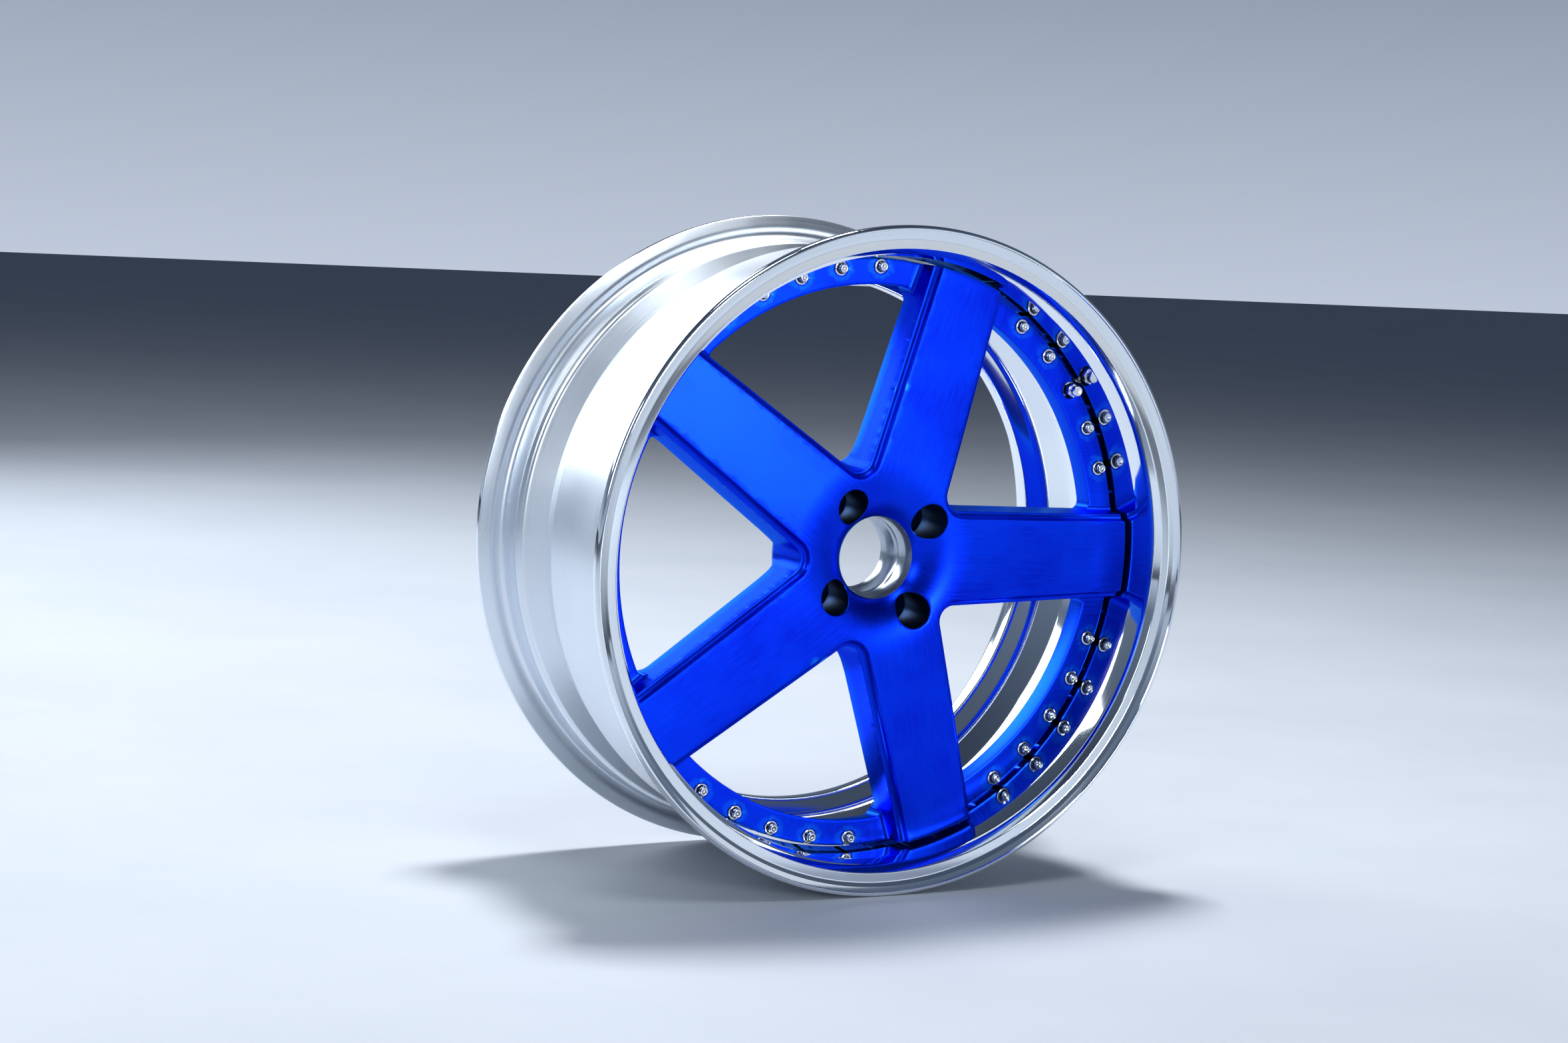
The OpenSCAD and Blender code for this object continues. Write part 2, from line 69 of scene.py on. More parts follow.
# beside a spoke's face: its rounded edge, a cove down to the step, and the window's wall
CROTCH_R, CORNER_R, STEP_W, STEP_D = 17.0, 6.0, 5.0, 6.0
EDGE_ROUND, COVE_W, COVE_END, WALL_E = 0.8, 4.5, 0.5, STEP_W + 1
FILLET, CHAMFER, DISC_ROUND, LUG_ROUND, VALVE_ROUND = 4.5, 1.0, 1.2, 0.7, 0.5
WINDOW = (WALL_E, WINDOW_R, CORNER_R)
CENTRE = (0, 0)
VALVE = (BOLT_R * math.cos(HALF), BOLT_R * math.sin(HALF))
LUG_CIRCLE_R, LUG_R, LUG_HOLE_R, VALVE_HOLE_R = 50, 13.85, 7.3, 6.8
LUGS = [(LUG_CIRCLE_R * math.cos(HALF + k * math.pi / 2), LUG_CIRCLE_R * math.sin(HALF + k * math.pi / 2))
        for k in range(4)]
SPOT_R, SPOT_FLOOR_R, BOLT_HOLE_R, BOLT_SEAT = 6.8, 6.65, 3.5, RING_FACE - 0.8
BORE_REAR_R, PAD_HOLE_R, BACK_RIM_R = 29.05, LUG_HOLE_R + 0.6, 217.3
HEAD_H, TAIL_LEN, NUT_H = 6.5, 9.0, 7.0
STEM_LEN, COLLAR_AF, COLLAR_H, STEM_FOOT_LEN = 15, 10.6, 4.0, 9.5
CAP_GRIP, CAP_AF, CAP_HEX_LEN, CAP_END_LEN = 5.5, 9.8, 8, 6.5
TO_CORNER = 1 / 2 / math.cos(math.radians(30))  # from a hexagon's width to its corner's radius


# ---------------------------------------------------------------- materials
class Graph:
    """The node tree of a material or a world. The methods return the socket that holds their result."""

    def __init__(self, tree):
        self.nodes, self.links = tree.nodes, tree.links

    def feed(self, socket, value):
        if isinstance(value, bpy.types.NodeSocket):
            self.links.new(value, socket)
        else:
            socket.default_value = value

    def surface(self, **inputs):
        """Sets or links inputs of the Principled BSDF."""
        for key, value in inputs.items():
            self.feed(self.nodes["Principled BSDF"].inputs[key.replace("_", " ")], value)

    def node(self, kind, result, **inputs):
        n = self.nodes.new(kind)
        for key, value in inputs.items():
            self.feed(n.inputs[key.replace("_", " ")], value)
        return n.outputs[result]

    def maths(self, operation, a, b=None):
        n = self.nodes.new("ShaderNodeMath")
        n.operation = operation
        self.feed(n.inputs[0], a)
        if b is not None:
            self.feed(n.inputs[1], b)
        return n.outputs[0]

    def times(self, a, b):
        return self.maths("MULTIPLY", a, b)

    def plus(self, a, b):
        return self.maths("ADD", a, b)

    def ranged(self, value, low, high, to_low, to_high):
        return self.node("ShaderNodeMapRange", "Result", Value=value, From_Min=low, From_Max=high,
                         To_Min=to_low, To_Max=to_high)

    def tinted(self, value, low, high, middle=None):
        """A ramp from one colour to another; `middle` is the place and colour of a third."""
        ramp = self.nodes.new("ShaderNodeValToRGB")
        stops = ramp.color_ramp.elements
        stops[0].color, stops[1].color = (*low, 1), (*high, 1)
        if middle:
            stops.new(middle[0]).color = (*middle[1], 1)
        self.feed(ramp.inputs["Fac"], value)
        return ramp.outputs["Color"]

    def axes(self, at=(0, 0, 0)):
        """Radius from the axis through `at`, depth along it, the angle round it, and the place."""
        shift = self.nodes.new("ShaderNodeVectorMath")
        shift.operation = "SUBTRACT"
        shift.inputs[1].default_value = at
        self.feed(shift.inputs[0], self.node("ShaderNodeTexCoord", "Object"))
        split = self.nodes.new("ShaderNodeSeparateXYZ")
        self.feed(split.inputs[0], shift.outputs[0])
        x, y, z = split.outputs
        radius = self.maths("SQRT", self.plus(self.times(x, x), self.times(z, z)))
        return radius, y, self.maths("ARCTAN2", z, x), shift.outputs[0]

    def noise(self, vector, scale, detail=3.0, rough=0.5):
        return self.node("ShaderNodeTexNoise", "Fac", Vector=vector, Scale=scale, Detail=detail,
                         Roughness=rough)

    def stretched_noise(self, x, y, z, detail, rough):
        return self.noise(self.node("ShaderNodeCombineXYZ", 0, X=x, Y=y, Z=z), 1.0, detail, rough)

    def bump(self, height, strength, distance):
        self.surface(Normal=self.node("ShaderNodeBump", "Normal", Height=height, Strength=strength,
                                      Distance=distance))


def new_material(name):
    mat = bpy.data.materials.new(name)
    mat.use_nodes = True
    return mat, Graph(mat.node_tree)


def turned_metal(name, low, high, rough, groove, at=(0, 0, 0), around=0.6, strength=0.25, depth=0.00001):
    """Metal with fine grooves round the axis through `at`, broken up by faint smears and spots."""
    mat, g = new_material(name)
    radius, y, angle, where = g.axes(at)
    fine = g.stretched_noise(g.times(radius, groove), g.times(y, groove), g.times(angle, around), 6.0, 0.7)
    cloud = g.noise(where, 9.0)
    spots = g.noise(where, 900.0, 2.0)
    smears = g.ranged(cloud, 0.35, 0.65, -0.15 * rough[0], 0.3 * rough[0])
    g.surface(Metallic=1.0,
              Base_Color=g.tinted(g.plus(g.times(fine, 0.6), g.times(cloud, 0.4)), low, high),
              Roughness=g.plus(g.ranged(fine, 0.3, 0.7, rough[0], rough[1]), smears))
    g.bump(g.plus(fine, g.times(spots, 0.15)), strength, depth)
    return mat


def blue_coat():
    """Satin electric blue over brushed metal, with brushing along the spokes and a painted pale cyan highlight
    on sharp edges.
    """
    mat, g = new_material("disc_blue")
    radius, y, angle, where = g.axes()
    # folds the angle into one spoke, so the brushing runs straight along each spoke's length
    turns = g.maths("DIVIDE", angle, PITCH)
    local = g.times(g.maths("SUBTRACT", turns, g.maths("ROUND", turns)), PITCH)
    across = g.times(radius, g.maths("SINE", local))
    streaks = g.stretched_noise(g.times(across, 1500.0), g.times(radius, 18.0), g.times(y, 600.0), 4.0, 0.65)
    cloud = g.noise(where, 14.0)
    grain = g.noise(where, 2600.0, 2.0)
    tone = g.plus(g.times(streaks, 0.45), g.times(cloud, 0.55))
    # painted highlight: where the pointiness is high, on sharp edges, the blue mixes towards a paler cyan
    edge = g.node("ShaderNodeNewGeometry", "Pointiness")
    edge_highlight = g.nodes.new("ShaderNodeMix")
    edge_highlight.data_type = "RGBA"
    g.feed(edge_highlight.inputs["Factor"], g.ranged(edge, 0.52, 0.60, 0.0, 0.55))
    g.feed(edge_highlight.inputs[6], g.tinted(g.ranged(tone, 0.3, 0.7, 0.0, 1.0), (0.000, 0.008, 0.60),
                                    (0.000, 0.044, 0.86)))
    edge_highlight.inputs[7].default_value = (0.01, 0.26, 1.0, 1)
    rough = g.plus(g.ranged(streaks, 0.3, 0.7, 0.27, 0.37), g.ranged(cloud, 0.35, 0.65, -0.03, 0.04))
    g.surface(Metallic=1.0, Base_Color=edge_highlight.outputs[2], Specular_Tint=(0.1, 0.6, 1.0, 1),
              Coat_Weight=0.05, Coat_Roughness=0.3, Roughness=rough)
    g.bump(g.plus(g.times(streaks, 0.6), g.times(grain, 0.4)), 0.10, 0.00002)
    return mat


def rough_solid(name, low, high, rough, scale, strength, depth, metallic=0.0):
    """A material with the same fine grain all over and a slow change of tone."""
    mat, g = new_material(name)
    where = g.axes()[3]
    fine = g.noise(where, scale, 5.0, 0.6)
    cloud = g.noise(where, scale * 0.08, 2.0)
    g.surface(Metallic=metallic, Base_Color=g.tinted(cloud, low, high),
              Roughness=g.ranged(fine, 0.3, 0.7, rough[0], rough[1]))
    g.bump(fine, strength, depth)
    return mat


valve_at = (VALVE[0] / 1000, 0, VALVE[1] / 1000)
BLUE = blue_coat()
POLISHED = turned_metal("barrel_polished", (0.76, 0.81, 0.87), (0.88, 0.92, 0.96),
                        (0.045, 0.085), 1500.0, around=0.9, strength=0.05, depth=0.000012)
TURNED = turned_metal("barrel_turned", (0.70, 0.76, 0.84), (0.86, 0.90, 0.95),
                      (0.26, 0.38), 2600.0, around=1.2, strength=0.35, depth=0.00003)
# dark metal for the lug wells and the valve hole, which paints the shade inside them
WELL_PAINTED_SHADE = turned_metal("lug_well_painted_shade", (0.003, 0.022, 0.07), (0.010, 0.055, 0.17),
                    (0.30, 0.42), 2200.0, around=1.0, strength=0.3, depth=0.00003)
# the bore's bare metal, darkened to paint the shade in the bore
BARE_PAINTED_SHADE = turned_metal("bore_painted_shade", (0.26, 0.30, 0.36), (0.46, 0.51, 0.58),
                    (0.14, 0.26), 2200.0, around=1.0, strength=0.3, depth=0.00003)
CHROME = rough_solid("bolt_chrome", (0.62, 0.66, 0.72), (0.84, 0.87, 0.91), (0.07, 0.14),
                     1500.0, 0.12, 0.00001, 1.0)
# dark steel for the bolt heads' twelve-point sides, which paints the shade on them
BOLT_SIDE_SHADE = rough_solid("bolt_side_painted_shade", (0.05, 0.07, 0.12), (0.20, 0.24, 0.32), (0.14, 0.24),
                        1500.0, 0.12, 0.00001, 1.0)
ZINC = rough_solid("nut_zinc", (0.50, 0.50, 0.52), (0.68, 0.68, 0.70), (0.26, 0.38),
                   1300.0, 0.2, 0.00002, 1.0)
VALVE_METAL = turned_metal("valve_metal", (0.70, 0.71, 0.74), (0.88, 0.88, 0.90),
                           (0.16, 0.26), 4000.0, at=valve_at)
CAP_METAL = turned_metal("cap_metal", (0.76, 0.77, 0.80), (0.92, 0.92, 0.94),
                         (0.12, 0.22), 4200.0, at=valve_at)
BRASS = turned_metal("core_brass", (0.62, 0.42, 0.14), (0.86, 0.64, 0.28),
                     (0.22, 0.34), 5000.0, at=valve_at, strength=0.2)
STEEL = rough_solid("spring_steel", (0.50, 0.51, 0.53), (0.70, 0.71, 0.73), (0.2, 0.3),
                    6000.0, 0.15, 0.00001, 1.0)
RUBBER = rough_solid("seal_rubber", (0.012, 0.012, 0.012), (0.03, 0.03, 0.032), (0.55, 0.75),
                     4000.0, 0.3, 0.00002)
PTFE = rough_solid("core_ptfe", (0.72, 0.72, 0.70), (0.86, 0.86, 0.84), (0.4, 0.5),
                   5000.0, 0.1, 0.00001)


# ---------------------------------------------------------------- mesh helpers
def to_circle(radius, reach, centre=CENTRE):
    """A move that takes a point straight in or out to a circle round `centre`, at this reach."""
    def move(v):
        x, z = v[0] - centre[0], v[1] - centre[1]
        k = radius / math.hypot(x, z)
        return centre[0] + x * k, centre[1] + z * k, reach
    return move


class Shell:
    """Vertices as (x, z, reach) in millimetres, and faces that turn outwards."""

    def __init__(self):
        self.verts, self.faces, self.mats = [], [], []

    def add(self, verts, faces):
        """Adds these, with the piece's first material, and gives the first new vertex's number."""
        start = len(self.verts)
        self.verts += [tuple(v) for v in verts]
        self.faces += [tuple(start + i for i in f) for f in faces]
        self.mats += [0] * len(faces)
        return start

    def open_edges(self):
        seen = {}
        for f in self.faces:
            for a, b in zip(f, f[1:] + f[:1]):
                seen[(a, b)] = True
        return [(a, b) for a, b in seen if (b, a) not in seen]

    def skirt(self, edges, move, mat=0):
        """A row of faces from these open edges to where `move` takes them, and its new open edges."""
        new = {}
        for edge in edges:
            for v in edge:
                if v not in new:
                    new[v] = len(self.verts)
                    self.verts.append(tuple(move(self.verts[v])))
        for a, b in edges:
            self.faces.append((b, a, new[a], new[b]))
            self.mats.append(mat)
        return [(new[a], new[b]) for a, b in edges]

    def sink(self, edges, rows, centre=CENTRE, mat=0):
        """Skirts from these open edges through each (radius, reach), and the last open edges."""
        for radius, reach in rows:
            edges = self.skirt(edges, to_circle(radius, reach, centre), mat)
        return edges

    def fan(self, ids, mat):
        """Faces from a row of vertices to a new one in its middle."""
        middle = len(self.verts)
        self.verts.append(tuple(np.mean([self.verts[i] for i in ids], axis=0)))
        for a, b in zip(ids, ids[1:] + ids[:1]):
            self.faces.append((a, b, middle))
            self.mats.append(mat)

    def loft(self, rings, mat=0, closed=False, cap_start=False, cap_end=False):
        """Joins rings of the same count. Going up in reach on an outer wall, the faces turn outwards."""
        count, rows = len(rings[0]), len(rings)
        start = self.add([p for r in rings for p in r], [])
        mats = mat if isinstance(mat, list) else [mat] * rows
        for k in range(rows if closed else rows - 1):
            a, b = start + k * count, start + ((k + 1) % rows) * count
            for i in range(count):
                j = (i + 1) % count
                self.faces.append((a + i, a + j, b + j, b + i))
                self.mats.append(mats[k])
        if cap_start:
            self.fan([start + i for i in range(count - 1, -1, -1)], mats[0])
        if cap_end:
            self.fan([start + (rows - 1) * count + i for i in range(count)], mats[-1])

    def turn(self, centre, count, rows, mat=0, **caps):
        """Lofts rows of (radius, reach) or (radius, reach, shape) round `centre`."""
        self.loft([ring(row[0], row[1], centre, count, *row[2:]) for row in rows], mat, **caps)

    def build(self, name, materials, body, slot, sharp, outwards=False, weld=False):
        """Makes the piece."""
        mesh = bpy.data.meshes.new(name)
        points = [(x / 1000, -h / 1000, z / 1000) for x, z, h in self.verts]
        mesh.from_pydata(points, [], self.faces)
        mesh.polygons.foreach_set("material_index", self.mats)
        if weld or outwards:
            work = bmesh.new()
            work.from_mesh(mesh)
            if weld:
                bmesh.ops.remove_doubles(work, verts=work.verts, dist=0.000002)
            if outwards:
                bmesh.ops.recalc_face_normals(work, faces=work.faces)
            work.to_mesh(mesh)
            work.free()
        for mat in materials:
            mesh.materials.append(mat)
        mesh.shade_smooth()
        mesh.set_sharp_from_angle(angle=math.radians(sharp))
        piece = bpy.data.objects.new(name, mesh)
        scene.collection.objects.link(piece)
        if body:
            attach(piece, body)
        return piece


def ring(radius, reach, centre, count, shape=None):
    """One ring of points; `shape` scales the radius at each angle."""
    out = []
    for i in range(count):
        a = 2 * math.pi * i / count
        r = radius * (shape(a) if shape else 1)
        out.append((centre[0] + r * math.cos(a), centre[1] + r * math.sin(a), reach))
    return out


def rounded(points, steps=7):
    """Outline of (radius, reach, corner radius) with its corners turned into arcs."""
    out, n = [], len(points)
    for i, b in enumerate(points):
        p = Vector((b[0], b[1]))
        u = (Vector(points[i - 1][:2]) - p).normalized()
        v = (Vector(points[(i + 1) % n][:2]) - p).normalized()
        half = u.angle(v) / 2
        m = p + (u + v).normalized() * b[2] / math.sin(half)
        s = p + u * b[2] / math.tan(half)
        e = p + v * b[2] / math.tan(half)
        a0 = math.atan2(s.y - m.y, s.x - m.x)
        turn = (math.atan2(e.y - m.y, e.x - m.x) - a0 + math.pi) % (2 * math.pi) - math.pi
        out += [(m.x + b[2] * math.cos(a0 + turn * k / steps), m.y + b[2] * math.sin(a0 + turn * k / steps))
                for k in range(steps + 1)]
    return out


def circle(centre, r, n):
    return [(centre[0] + r * math.cos(2 * math.pi * i / n), centre[1] + r * math.sin(2 * math.pi * i / n))
            for i in range(n)]


def spaced_circles(radii, spacing):
    """Points about `spacing` apart round the wheel's centre, at each radius."""
    return [q for r in radii for q in circle(CENTRE, r, int(2 * math.pi * r / spacing))]


def turned_by(points, angle):
    c, s = math.cos(angle), math.sin(angle)
    return [(x * c - y * s, x * s + y * c) for x, y in points]


def mirrored(points):
    """A half outline and its mirror image in the line through a window's middle."""
    c, s = math.cos(PITCH), math.sin(PITCH)
    return [(x * c + y * s, x * s - y * c) for x, y in points][::-1]


def away(x, z, centre):
    return np.hypot(x - centre[0], z - centre[1])


def inside(poly, x, z):
    """Whether points lie inside a polygon, by counting the sides to their right."""
    hit = np.zeros(x.shape, bool)
    for (x1, z1), (x2, z2) in zip(poly, np.roll(poly, -1, axis=0)):
        if z1 != z2:
            hit ^= ((z1 > z) != (z2 > z)) & (x < (x2 - x1) * (z - z1) / (z2 - z1) + x1)
    return hit


def triangulated(loops, lines, points, keep):
    """Fills the plan with triangles along these loops and lines, where `keep` holds."""
    verts, edges = [], []
    for loop in loops:
        s = len(verts)
        verts += loop
        edges += [(s + i, s + (i + 1) % len(loop)) for i in range(len(loop))]
    for line in lines:
        s = len(verts)
        verts += line
        edges += [(s + i, s + i + 1) for i in range(len(line) - 1)]
    verts += points
    out = geometry.delaunay_2d_cdt([Vector(v) for v in verts], edges, [], 0, 1e-5)
    co = np.array([(v.x, v.y) for v in out[0]])
    tris = np.array([f for f in out[2] if len(f) == 3])
    centre = co[tris].mean(axis=1)
    tris = tris[keep(centre[:, 0], centre[:, 1])]
    a, b, c = co[tris[:, 0]], co[tris[:, 1]], co[tris[:, 2]]
    area = (b[:, 0] - a[:, 0]) * (c[:, 1] - a[:, 1]) - (b[:, 1] - a[:, 1]) * (c[:, 0] - a[:, 0])
    tris = np.where(area[:, None] < 0, tris[:, ::-1], tris)[np.abs(area) > 1e-7]
    used = np.unique(tris)
    remap = -np.ones(len(co), int)
    remap[used] = np.arange(len(used))
    return co[used], remap[tris]


# ---------------------------------------------------------------- rim barrel
def tyre_end():
    """The tyre's side of the front flange, down to the barrel behind the hump."""
    seat_end = FLANGE_IN - SEAT_LEN
    return [
        (TIP_R, FLANGE_OUT, 2.8), (TIP_R, FLANGE_IN + 5.5, 1.5), (SEAT_R + 8.5, FLANGE_IN, 8),
        (SEAT_R, FLANGE_IN, 6), (SEAT_R - SEAT_LEN * math.tan(SEAT_SLOPE), seat_end, 1),
        (BARREL_R + HUMP_H, seat_end - HUMP_W / 2, 3), (BARREL_R, seat_end - HUMP_W, 6),
    ]


def build_barrel():
    steps = 7
    well = [
        (BARREL_R, WELL_STEP, 0.5), (BARREL_R - 2, WELL_STEP - 1, 1), (BARREL_R - 6.8, WELL_STEEP, 14),
        (WELL_R, WELL_FRONT, 4), (WELL_R, WELL_REAR, 5), (BARREL_R, REAR_SLOPE, 4),
    ]
    rear = [(r, -h, c) for r, h, c in reversed(tyre_end())]
    inner = [
        (TIP_R - 13.5, -FLANGE_OUT, 2.5), (LIP_R + 2.4, 1 - FLANGE_IN, 8),
        (LIP_R, REAR_SLOPE - 3, 6), (WELL_R - WALL, WELL_REAR - 1, 6),
        (WELL_R - WALL, WELL_FRONT + 1, 5), (LIP_R - 7, WELL_STEEP + 1, 12), (LIP_R, WELL_STEP, 20),
    ]
    ledge = [
        (LIP_R, LEDGE_REAR, 2.5), (LEDGE_R, LEDGE_REAR, 0.8), (LEDGE_R, SEAT_REACH, 0.3),
        (LIP_R, SEAT_REACH, 0.3),
    ]
    lip = [
        (LIP_R, FLANGE_OUT - 28, 40), (LIP_R + 2.2, FLANGE_IN, 16),
        (LIP_R + 6.8, FLANGE_OUT - 4.4, 1.2), (TIP_R - 10.5, FLANGE_OUT - 4.4, 2.5),
        (TIP_R - 7.5, FLANGE_OUT - 2.6, 2.5), (TIP_R - 3.6, FLANGE_OUT - 1.2, 0.3),
        (TIP_R - 3.3, FLANGE_OUT, 0.3),
    ]
    tyre_side = tyre_end() + well + rear
    outline = rounded(tyre_side + inner + ledge + lip, steps)

    # the tyre side, from the front flange's back to the rear one's, has the plain turned finish
    def is_turned(r, h):
        return (r > LIP_R + 1.5 and abs(h) < FLANGE_IN + 6
                or WELL_R - 0.1 < r < BARREL_R and WELL_REAR - 16 < h < WELL_STEP + 1)

    ends = (steps + 1) * len(tyre_side)
    mats = [int(i < ends and is_turned(*p)) for i, p in enumerate(outline)]
    shell = Shell()
    shell.loft([ring(r, h, CENTRE, 320) for r, h in outline], mats, closed=True)
    piece = shell.build("rim_barrel_shape", [POLISHED, TURNED], "wheel", "barrel_alloy", 24, outwards=True)
    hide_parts("rim_barrel")


# ---------------------------------------------------------------- centre disc
CROTCH = (FACE_LINE + CROTCH_R) / math.sin(HALF + TAPER)
CX, CY = CROTCH * math.cos(HALF), CROTCH * math.sin(HALF)
ST, CT = math.sin(TAPER), math.cos(TAPER)
WALL_TOP = RING_FACE + FILLET

# the hub's bowl, from the bore's mouth to the start of the spokes' straight fall
t = np.linspace(0, 1, 60)
face_slope = (FACE_RIM - FACE_HUB) / (DISC_R - FACE_HUB_R)
bowl_r = BOWL_R * (1 - t) ** 2 + 2 * BOWL_BEND_R * t * (1 - t) + FACE_HUB_R * t ** 2
bowl_h = (BOWL_REACH * (1 - t) ** 2 + 2 * (FACE_HUB + face_slope * (BOWL_BEND_R - FACE_HUB_R)) * t * (1 - t)
          + FACE_HUB * t ** 2)

# depth of the rounded edge and the cove beside a spoke's face, against distance past its edge
edge_turn = np.radians(np.linspace(0, 90, 5))
cove_turn = np.radians(np.linspace(0, 90, 8))[1:]
step_e = np.concatenate([-EDGE_ROUND + EDGE_ROUND * np.sin(edge_turn), COVE_W * (1 - np.cos(cove_turn)),
                         COVE_W + COVE_END * np.sin(edge_turn[1:])])
step_drop = np.concatenate([EDGE_ROUND * (1 - np.cos(edge_turn)),
                            EDGE_ROUND + (STEP_D - EDGE_ROUND) * np.sin(cove_turn),
                            STEP_D + COVE_END * (1 - np.cos(edge_turn[1:]))])
fillet_turn = np.radians(np.linspace(0, 90, 7))
fillet_e = WALL_E + FILLET * (1 - np.cos(fillet_turn))
fillet_h = WALL_TOP - FILLET * np.sin(fillet_turn)
# the back's radius and reach, from the pad over the spokes to the spigot
BACK = np.array([
    (28.0, 28.0), (68.5, 28.0), (69.5, 29.0), (71.5, 34.0), (74.5, 40.5), (79.5, 46.6), (84, 48.6),
    (93.5, 49.4), (198, 43.2), (201.9, 42.0), (204.5, 38.5), (209.3, 29.8), (211, 29), (232, 29),
])


def face_reach(r):
    return np.where(r < FACE_HUB_R, np.interp(r, bowl_r, bowl_h), FACE_HUB + face_slope * (r - FACE_HUB_R))


def back_reach(r):
    return np.interp(r, BACK[:, 0], BACK[:, 1])


def to_spoke(x, z):
    """Distance along and across the nearest spoke's axis."""
    angle, r = np.arctan2(z, x), np.hypot(x, z)
    off = np.abs(angle - np.round(angle / PITCH) * PITCH)
    return r * np.cos(off), r * np.sin(off)


def past_edge(x, z):
    """How far a point lies past the outline of the spokes' faces, towards a window."""
    u, v = to_spoke(x, z)
    near = u * CT - v * ST < CX * CT - CY * ST
    return np.where(near, CROTCH_R - np.hypot(u - CX, v - CY), u * ST + v * CT - FACE_LINE)


def corner_at(edge, outer, r):
    """Centre of the arc in a window's outer corner."""
    side = FACE_LINE + edge + r
    along = math.sqrt((outer - r) ** 2 - side ** 2)
    return along * CT + side * ST, side * CT - along * ST


def outside_window(x, z, edge, outer, r):
    """How far a point lies in the metal outside a window's outline."""
    u, v = to_spoke(x, z)
    kx, ky = corner_at(edge, outer, r)
    wedge = ((u - kx) * CT - (v - ky) * ST > 0) & (kx * v - ky * u < 0)
    plain = np.maximum(edge - past_edge(x, z), np.hypot(x, z) - outer)
    return np.where(wedge, np.hypot(u - kx, v - ky) - r, plain)


def round_off(distance, r):
    """Depth of a rounded edge at a distance inside it."""
    d = np.clip(distance, 0, r)
    return r - np.sqrt(np.maximum(r * r - (r - d) ** 2, 0))


def top_reach(x, z):
    """Reach of the disc's front: face, step beside it, window's wall and ring, with their rounded edges."""
    r, e = np.hypot(x, z), past_edge(x, z)
    face = face_reach(r)
    step = face - STEP_D - COVE_END
    foot = np.maximum(WALL_TOP, (step + back_reach(r) + 0.8) / 2)
    wall = step + (foot - step) * np.clip(e - STEP_W, 0, 1)
    h = np.where(e > STEP_W, wall, face - np.interp(e, step_e, step_drop))
    h = np.where((e > WALL_E) & (r > 195), np.interp(e, fillet_e, fillet_h), h)
    fade = np.clip((e - 8) / 4, 0, 1)
    h = h - fade * round_off(outside_window(x, z, *WINDOW), CHAMFER) - round_off(DISC_R - r, DISC_ROUND)
    for lug in LUGS:
        h = h - round_off(away(x, z, lug) - LUG_R, LUG_ROUND)
    return h - round_off(away(x, z, VALVE) - VALVE_HOLE_R, VALVE_ROUND)


def window_outline(edge, outer, r):
    """Points round one window, from its middle beside the hub; in the first window's place."""
    spacing = 2.0
    kx, ky = corner_at(edge, outer, r)
    arc_r = CROTCH_R - edge
    points = []
    for i in range(13):
        a = HALF - math.pi + (math.pi / 2 - HALF - TAPER) * i / 12
        points.append((CX + arc_r * math.cos(a), CY + arc_r * math.sin(a)))
    start = np.array(points[-1])
    end = np.array((kx - r * ST, ky - r * CT))
    n = int(np.linalg.norm(end - start) / spacing)
    points += [tuple(start + (end - start) * i / n) for i in range(1, n + 1)]
    turn_to = math.atan2(ky, kx)
    n = 14
    for i in range(1, n + 1):
        a = -math.pi / 2 - TAPER + (turn_to + math.pi / 2 + TAPER) * i / n
        points.append((kx + r * math.cos(a), ky + r * math.sin(a)))
    n = int((HALF - turn_to) * outer / spacing)
    points += [(outer * math.cos(turn_to + (HALF - turn_to) * i / n),
                outer * math.sin(turn_to + (HALF - turn_to) * i / n)) for i in range(1, n + 1)]
    return points + mirrored(points[1:-1])


def edge_line(edge):
    """An open line at one distance past the face's edge, round one window from disc edge to disc edge."""
    arc_r = CROTCH_R - edge
    base = np.array((CX - arc_r * ST, CY - arc_r * CT))
    along = np.array((CT, -ST))
    b = base @ along
    length = -b + math.sqrt(b * b - base @ base + (DISC_R + 3) ** 2)
    n = int(length / 2.5)
    points = [tuple(base + along * length * i / n) for i in range(n, 0, -1)]
    steps = 16
    for i in range(steps + 1):
        a = -math.pi / 2 - TAPER + (HALF - math.pi / 2 + TAPER) * i / steps
        points.append((CX + arc_r * math.cos(a), CY + arc_r * math.sin(a)))
    return points + mirrored(points[:-1])


